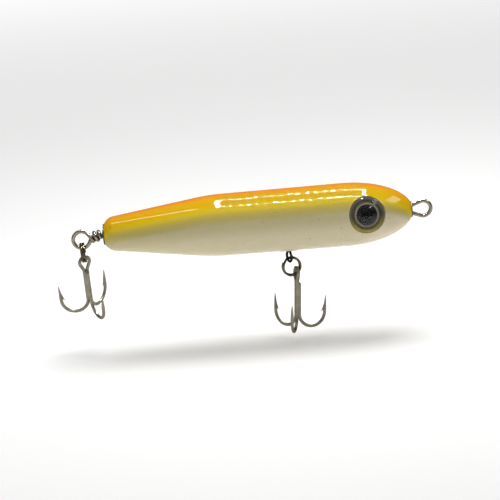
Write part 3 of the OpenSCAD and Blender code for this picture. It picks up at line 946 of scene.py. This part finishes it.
def build_wire():
    """One length: tag end, line tie, bore, tail loop and wrap."""
    shell = Shell()
    bend = Vector((-5.2, 0, 1.45))
    tie = math.pi - math.atan(bend.z / 5.2) - math.acos(TIE_R / math.hypot(bend.x, bend.z))
    loop = arc((0, 0, 0), (1, 0, 0), (0, 0, 1), TIE_R, -tie, tie, 72)
    merge = Vector((NOSE_X - NOSE_HOLE_DEPTH + 0.5, 0, 0))
    tag = Vector((NOSE_X - NOSE_HOLE_DEPTH + 2.5, 0, -bend.z))
    start = rounded([tag, Vector((bend.x, 0, -bend.z)), loop[0]], [2.2])
    droop = moved(TAIL_X) @ turned(-TAIL_DROOP, "Y")

    def local(x, y, z):
        return droop @ Vector((x, y, z))

    leave = rad(58)
    eye = [local(-TAIL_LOOP_REACH + TAIL_LOOP_R * math.cos(w), 0, -TAIL_LOOP_R * math.sin(w))
           for w in (leave + (TAU - 2 * leave) * k / 76 for k in range(77))]
    into_eye = (eye[1] - eye[0]).normalized()
    crossing = local(-WRAP_REACH + 0.5, 0, 0)
    slope = (local(-WRAP_REACH - 0.9, 0, -0.95) - crossing).normalized()
    core = rounded([loop[-1], bend, merge, Vector((TAIL_X, 0, 0)), crossing], [2.2, 6.0, 4.0])
    lead = bezier(crossing, crossing + slope * 0.9, eye[0] - into_eye * 1.2, eye[0], 18)
    begin, end = rad(30), TAU * WRAP_TURNS
    coil = [local(-WRAP_START + WRAP_PITCH * w / TAU, -WRAP_R * math.cos(w), -WRAP_R * math.sin(w))
            for w in (begin + (end - begin) * k / 110 for k in range(111))]
    out = (eye[-1] - eye[-2]).normalized()
    into = (coil[1] - coil[0]).normalized()
    cross = bezier(eye[-1], eye[-1] + out * 1.5, coil[0] - into * 1.5, coil[0], 26)
    path = start[:-1] + loop + core[1:-1] + lead + eye[1:] + cross[1:-1] + coil
    tube(shell, fill(path, 1.4), WIRE_R, 22)
    return shell


make(build_wire(), "leader_wire", [WIRE], "lure_body", "through_wire")


# ---- the belly swivel

HEAD_Z = SWIVEL_EYE_R + SWIVEL_WIRE_R + 1.35 + BARREL_WALL + 0.15
# the head on a shank's end, inside the barrel: (radius, height above HEAD_Z)
SWIVEL_HEAD = ((0, 0), (1.45, 0), (1.57, 0.1), (1.6, 0.3), (1.57, 0.62), (1.35, 0.8), (0, 0.8))
# the barrel's outside from one rolled end to its waist: (radius, height above that end)
BARREL_END = ((SWIVEL_SHANK_R + 0.06, 0.12), (SWIVEL_SHANK_R + 0.14, 0.02), (1.3, 0), (1.62, 0.12),
              (1.9, 0.36), (2.16, 0.7), (2.36, 1.1), (2.47, 1.6), (2.5, 2.2))
BARREL_WAIST = [(2.5, -0.25), (2.44, -0.12), (2.44, 0.12), (2.5, 0.25)]


def build_swivel_eye():
    """A loop of wire whose two legs run side by side through the barrel's end, to a head inside it."""
    shell = Shell()
    throat = Vector((SWIVEL_WIRE_R, 0, 3.05))
    loop = [Vector((SWIVEL_EYE_R * math.sin(w), 0, SWIVEL_EYE_R * math.cos(w)))
            for w in open_loop(SWIVEL_EYE_R, throat.x, throat.z, 64)]
    leg = [Vector((SWIVEL_WIRE_R, 0, HEAD_Z + 0.4)), throat]
    far_leg = [Vector((-q.x, 0, q.z)) for q in reversed(leg)]
    path = rounded(leg + loop[:1], [1.6], 0.2)[:-1] + loop + rounded(loop[-1:] + far_leg, [1.6], 0.2)[1:]
    tube(shell, fill(path, 0.6), SWIVEL_WIRE_R - 0.004, 20)
    lathe(shell, [(r, HEAD_Z + h) for r, h in SWIVEL_HEAD], 40, close=False)
    return shell


def build_barrel():
    """The swivel's hollow barrel with its ends rolled in round the shanks."""
    half = (BARREL_TOP - BARREL_BOTTOM) / 2
    end = [(r, -half + h) for r, h in BARREL_END]
    hole, deep = end[0][0], half - BARREL_WALL
    outer = end + BARREL_WAIST + [(r, -h) for r, h in reversed(end)]
    return turn_piece(outer + [(hole, deep), (1.9, deep), (1.9, -deep), (hole, -deep)], 64)


make(build_swivel_eye(), "upper_eye", [BLACK], "swivel_top", "swivel_upper_eye",
     place=moved(HANGER_X, 0, UPPER_EYE_Z) @ turned(math.pi / 2, "Z") @ turned(math.pi, "X"))
make(build_barrel(), "barrel", [BRASS], "swivel_case", "swivel_barrel",
     place=moved(HANGER_X, 0, (BARREL_TOP + BARREL_BOTTOM) / 2))
make(build_swivel_eye(), "lower_eye", [BLACK], "swivel_bottom", "swivel_lower_eye",
     place=moved(HANGER_X, 0, LOWER_EYE_Z) @ turned(LOWER_EYE_TURN, "Z"))


# ---- split rings

def build_split_ring(start):
    """Two turns of wire side by side, with the step from one to the other and both cut ends beside it."""
    shell = Shell()
    step, gap, n = rad(42), rad(7), 150
    path = []
    for w in ((2 * TAU - step - gap) * k / n for k in range(n + 1)):
        over = smooth((w - (TAU - step)) / step)
        path.append(Vector((RING_R * math.cos(start + w), RING_R * math.sin(start + w),
                            RING_WIRE_R * (2 * over - 1))))
    # the two turns are pressed together a little
    tube(shell, path, RING_WIRE_R, 18, shape=lambda i, o: np.array((o[0], o[1], o[2] * 0.985)))
    return shell


def in_belly_ring(reach, angle):
    return reach * Vector((math.sin(angle) * math.cos(BELLY_RING_TURN),
                           math.sin(angle) * math.sin(BELLY_RING_TURN), -math.cos(angle)))


BELLY_PIVOT = Vector((HANGER_X, 0, LOWER_EYE_Z - SWIVEL_EYE_R))
BELLY_RING = BELLY_PIVOT + in_belly_ring(RING_R - SWIVEL_WIRE_R - RING_WIRE_R - 0.35, BELLY_RING_TILT)
BELLY_HOOK = BELLY_RING + in_belly_ring(RING_R, math.pi / 2 - BELLY_CLOCK)
TAIL_PIVOT = Vector((TAIL_X - TAIL_LOOP_REACH * math.cos(TAIL_DROOP), 0,
                     -TAIL_LOOP_REACH * math.sin(TAIL_DROOP) - TAIL_LOOP_R))
TAIL_RING = TAIL_PIVOT - Vector((0, 0, RING_R - WIRE_R - RING_WIRE_R - 0.15))
TAIL_HOOK = TAIL_RING - Vector((0, 0, RING_R)) + Vector((0, 0, 2 * HOOK_R + 0.1 - HOOK_EYE_R))
SWUNG = moved(*TAIL_PIVOT) @ turned(TAIL_SWING, "X") @ moved(*-TAIL_PIVOT)
UPRIGHT = turned(math.pi / 2, "X")

make(build_split_ring(rad(150)), "belly_ring_coil", [RING], "belly_ring", "belly_split_ring",
     place=moved(*BELLY_RING) @ turned(BELLY_RING_TURN, "Z") @ UPRIGHT)
make(build_split_ring(rad(200)), "tail_ring_coil", [RING], "tail_ring", "tail_split_ring",
     place=SWUNG @ moved(*TAIL_RING) @ turned(math.pi / 2 + TAIL_RING_TURN, "Z") @ UPRIGHT)


# ---- treble hooks

TIP_R = 0.10
# slices of the barb from its root to its free end: (out from the point, height, half width, half thickness)
BARB = ((-0.30, 2.55, 0.26, 0.20), (-0.42, 1.75, 0.36, 0.34), (-0.72, 0.95, 0.34, 0.30),
        (-1.08, 0.38, 0.27, 0.21), (-1.42, -0.02, 0.17, 0.12), (-1.62, -0.24, 0.05, 0.05))
# how much of the shanks' hull the braze fills at each height
BRAZE = ((THIRD_TOP + 0.5, 0.62), (THIRD_TOP + 0.1, 0.86), (THIRD_TOP - 0.5, 0.95), (THIRD_TOP - 2, 0.965),
         (-10.0, 0.97), (-13.0, 0.965), (BEND_Z + 2.4, 0.95), (BEND_Z + 1.2, 0.9), (BEND_Z + 0.4, 0.74),
         (BEND_Z - 0.2, 0.5))


def bend_path(foot, azimuth):
    """From a shank down round the bend and up to the point's tip, with the wire's radius all along."""
    u, up = Vector((math.cos(azimuth), math.sin(azimuth), 0)), Vector((0, 0, 1))
    path = arc(foot + u * BEND_R + up * BEND_Z, u, up, BEND_R, math.pi, TAU, 56)
    radii = [HOOK_R] * len(path)
    for t in (k / 26 for k in range(1, 27)):
        path.append(foot + u * (2 * BEND_R + TIP_SHIFT * t) + up * (BARB_Z + POINT_LENGTH * t))
        radii.append(HOOK_R * (1 - t ** 1.45) * 0.86 + HOOK_R * 0.14 * (1 - t) + TIP_R * t)
    radii[-1] = TIP_R
    return path, radii, u


def build_barb(foot, u):
    """A sliver lifted from the inside of the point, its free end downwards."""
    shell = Shell()
    side, out = Vector((-u.y, u.x, 0)), (u * -0.78 + Vector((0, 0, 0.62))).normalized()
    rows = []
    for x, z, half, thick in BARB:
        middle = foot + u * (2 * BEND_R) + u * x + Vector((0, 0, BARB_Z + z))
        rows.append([shell.point(middle + side * half * c + out * thick * s, (c, s, z)) for c, s in circle(12)])
    shell.skin(rows)
    for row, flip in ((rows[0], True), (rows[-1], False)):
        middle = sum((shell.points[j] for j in row), Vector()) / len(row)
        shell.fan(row, shell.point(middle), flip=flip)
    return shell


def forged(flats):
    """Presses a hook's bend a little flat across its plane; flats has the direction and share per point."""
    def shape(i, offset):
        across, share = flats[i]
        if share == 0:
            return offset
        o = Vector(offset)
        part = across * o.dot(across)
        return np.array((o - part) * (1 - 0.01 * share) + part * (1 - 0.10 * share))
    return shape


def hook_flats(path, u):
    return [(Vector((-u.y, u.x, 0)), smooth((BEND_Z + 1.0 - q.z) / 3.5)) for q in path]


def build_double_hook():
    """Two hooks and the eye from one length of wire."""
    shell = Shell()
    eye = [Vector((0, HOOK_EYE_R * math.sin(w), -HOOK_EYE_R * math.cos(w)))
           for w in open_loop(HOOK_EYE_R, SHANK_Y, -THROAT_Z, 60)]
    left, right = Vector((0, SHANK_Y, 0)), Vector((0, -SHANK_Y, 0))
    left_bend, left_r, left_u = bend_path(left, rad(120))
    right_bend, right_r, right_u = bend_path(right, rad(-120))
    knee = Vector((0, SHANK_Y, THROAT_Z - 1))
    shank = fill([knee, Vector((0, SHANK_Y, BEND_Z))], 0.8)
    throat = rounded([eye[0], Vector((0, SHANK_Y, THROAT_Z)), knee], [2.6], 0.2)
    one = (throat[1:-1] + shank[:-1] + left_bend)[::-1]
    two = [Vector((q.x, -q.y, q.z)) for q in throat[1:] + shank[1:]] + right_bend[1:]
    path = one + eye + two
    radii = left_r[::-1] + [HOOK_R] * (len(path) - len(left_r) - len(right_r) + 1) + right_r[1:]
    flats = hook_flats(one, left_u) + [(Vector(), 0)] * len(eye) + hook_flats(two, right_u)
    tube(shell, path, radii, ends=("point", "point"), shape=forged(flats))
    return shell, [(left, left_u), (right, right_u)]


def build_third_hook():
    """The third hook, in the groove between the two shanks."""
    shell = Shell()
    base = Vector((GROOVE_X, 0, 0))
    bend, bend_r, u = bend_path(base, 0.0)
    top = Vector((GROOVE_X, 0, THIRD_TOP))
    shank = fill([top, Vector((GROOVE_X, 0, BEND_Z))], 0.7)
    path = [top, top - Vector((0, 0, 0.16))] + shank[1:] + bend[1:]
    radii = [HOOK_R * 0.86] + [HOOK_R] * len(shank) + bend_r[1:]
    tube(shell, path, radii, ends=("flat", "point"), shape=forged(hook_flats(path, u)))
    return shell, [(base, u)]


def build_braze():
    """Metal that has run into the grooves between the three shanks."""
    shell = Shell()
    centres = [Vector((0, SHANK_Y, 0)), Vector((0, -SHANK_Y, 0)), Vector((GROOVE_X, 0, 0))]
    middle = sum(centres, Vector()) / 3
    steps = 60

    def hull_reach(w):
        """How far the shanks' hull reaches at angle w: the nearest of the lines that it leans on."""
        d, reach = Vector((math.cos(w), math.sin(w), 0)), []
        for a in range(-80, 81, 4):
            e = Vector((math.cos(w + rad(a)), math.sin(w + rad(a)), 0))
            reach.append((max((c - middle).dot(e) for c in centres) + HOOK_R) / max(e.dot(d), 1e-6))
        return d * min(reach)

    hull = [hull_reach(TAU * k / steps) for k in range(steps)]
    rows = [[shell.point(middle + q * share + Vector((0, 0, z)), (c, s, z))
             for q, (c, s) in zip(hull, circle(steps))] for z, share in BRAZE]
    shell.skin(rows)
    shell.fan(rows[0], shell.point(middle + Vector((0, 0, BRAZE[0][0] + 0.05))), flip=True)
    shell.fan(rows[-1], shell.point(middle + Vector((0, 0, BRAZE[-1][0] - 0.05))))
    return shell


def weld(target, others):
    """Joins closed shells into one skin, without the parts that would lie inside."""
    for o in others:
        modifier = target.modifiers.new("weld", "BOOLEAN")
        modifier.operation, modifier.object, modifier.solver = "UNION", o, "EXACT"
        bpy.context.view_layer.update()
        welded = target.evaluated_get(bpy.context.evaluated_depsgraph_get())
        mesh = bpy.data.meshes.new_from_object(welded)
        target.modifiers.remove(modifier)
        target.data = mesh
        bpy.data.objects.remove(o)
    for polygon in target.data.polygons:
        polygon.use_smooth = True
    target.data.set_sharp_from_angle(angle=rad(38))


def treble(label, place):
    body = label + "_treble"
    for kind, build, material in (("double", build_double_hook, HOOK), ("third", build_third_hook, SOLDER)):
        shell, roots = build()
        node = "%s_%s_hook" % (label, kind)
        obj = make(shell, "%s_%s_wire" % (label, kind), [material], body, node, place=place)
        weld(obj, [solid(build_barb(*root), "%s_barb_%d" % (node, k), [material], place)
                   for k, root in enumerate(roots)])
    make(build_braze(), label + "_braze", [SOLDER], body, label + "_third_hook", nodes=(), place=place)


treble("belly", moved(*BELLY_HOOK) @ turned(BELLY_TURN, "Z") @ turned(BELLY_LEAN, "Y"))
treble("tail", SWUNG @ moved(*TAIL_HOOK) @ turned(TAIL_TURN, "Z"))


# ---- floor, light and camera, in metres

CENTRE = Vector((-0.0723, 0, -0.0123))
FLOOR_HALF, FLOOR_GAP = 6.0, 0.004
# a frame of lamp strips above the object, each a row of small diodes
FRAME_X, FRAME_Y, FRAME_Z, STRIP = (-0.109, 0.085), (-0.063, 0.178), 0.40, 0.017
STRIP_POWER, DIODE_PITCH, DIODE_GAIN = 2.0, 0.0056, 7.0
SKY = ((0.0, 0.10), (0.3, 0.16), (0.6, 0.35), (1.0, 0.5))
ELEVATION, ROLL, DISTANCE, WIDTH, SENSOR = rad(14.5), rad(4.7), 0.72, 0.2066, 36


def build_floor():
    n = material("pale_floor")
    tone = n.mix(n.noise(n.place(), 3.0, 2.0, 0.5), (0.86, 0.86, 0.855, 1), (0.89, 0.89, 0.885, 1))
    glow = n.range(n.axes(n.place())[1], -0.3, 1.7, 0.13, 0.72)
    mat = n.done(n.shader(Base_Color=tone, Roughness=0.9, Specular_IOR_Level=0.1,
                          Emission_Color=(1, 1, 1, 1), Emission_Strength=glow))
    mesh = bpy.data.meshes.new("floor")
    half, z = FLOOR_HALF, CAD_BOX[0].z - FLOOR_GAP
    corners = [(-half, -half, z), (half, -half, z), (half, half, z), (-half, half, z)]
    mesh.from_pydata(corners, [], [(0, 1, 2, 3)])
    mesh.materials.append(mat)
    stood("floor", mesh)


def lamp(name, size, power, place, aim, **unseen_by):
    data = bpy.data.lights.new(name, "AREA")
    data.shape, data.energy = "RECTANGLE", power
    data.size, data.size_y = size
    obj = stood(name, data)
    obj.location = place
    obj.rotation_euler = (Vector(aim) - Vector(place)).to_track_quat("-Z", "Y").to_euler()
    obj.visible_camera = False
    for kind, seen in unseen_by.items():
        setattr(obj, kind, seen)
    return obj


def diodes(strip, along, length):
    """Breaks a strip's light up into a row of dots of uneven width."""
    n = Nodes(strip.data, "OutputLight")
    spot = n.new("NewGeometry").outputs["Parametric"]
    at = n.mul(n.axes(spot)[along], length / DIODE_PITCH)
    uneven = n.new("TexNoise", {"W": at, "Scale": 0.7, "Detail": 1.0}, noise_dimensions="1D").outputs[0]
    lit = n.math("LESS_THAN", n.math("FRACT", at), n.range(uneven, 0.3, 0.7, 0.12, 0.7))
    n.done(n.new("Emission", {"Strength": n.mul(lit, DIODE_GAIN)}).outputs[0])


build_floor()
lamp("front_soft", (0.9, 0.6), 1.16, (-0.85, -0.9, 0.3), CENTRE)
lamp("top_soft", (0.22, 0.24), 1.62, (-0.018, 0.058, 0.42), CENTRE, visible_glossy=False)
lamp("wall_right", (0.34, 0.16), 1.3, (0.40, -0.02, 0.40), CENTRE, visible_diffuse=False)
lamp("wall_left", (0.035, 0.13), 0.2, (-0.245, -0.02, 0.40), CENTRE, visible_diffuse=False)
long_side, short_side = FRAME_X[1] - FRAME_X[0], FRAME_Y[1] - FRAME_Y[0]
sides = [((sum(FRAME_X) / 2, y), (long_side, STRIP)) for y in FRAME_Y]
sides += [((x, sum(FRAME_Y) / 2), (STRIP, short_side)) for x in FRAME_X]
for k, ((x, y), size) in enumerate(sides):
    strip = lamp("strip_%d" % k, size, STRIP_POWER * max(size), (x, y, FRAME_Z), (x, y, 0),
                 visible_diffuse=False)
    strip.rotation_euler = (0, 0, 0)
    diodes(strip, size.index(max(size)), max(size))

bpy.context.scene.world = bpy.data.worlds.new("studio")
n = Nodes(bpy.context.scene.world, "OutputWorld")
height = n.axes(n.new("TexCoord").outputs["Generated"])[2]
sky = n.ramp(height, [(at, tone, tone, tone) for at, tone in SKY])
n.done(n.new("Background", {"Color": sky, "Strength": 1.0}).outputs[0])

out = Vector((0, -math.cos(ELEVATION), math.sin(ELEVATION)))
right = Vector((1, 0, 0))
cam_x = right * math.cos(ROLL) - out.cross(right) * math.sin(ROLL)
cam_y = out.cross(cam_x)
camera = bpy.data.cameras.new("camera")
camera.sensor_width, camera.lens = SENSOR, SENSOR * DISTANCE / WIDTH
camera.clip_start, camera.clip_end = 0.01, 20
eye = stood("camera", camera)
aim = CENTRE + cam_y * 0.00056 - cam_x * 0.00012
eye.matrix_world = Matrix.Translation(aim + out * DISTANCE) @ Matrix((cam_x, cam_y, out)).transposed().to_4x4()
bpy.context.scene.camera = eye
bpy.context.scene.view_settings.view_transform = "Standard"

bpy.context.view_layer.update()
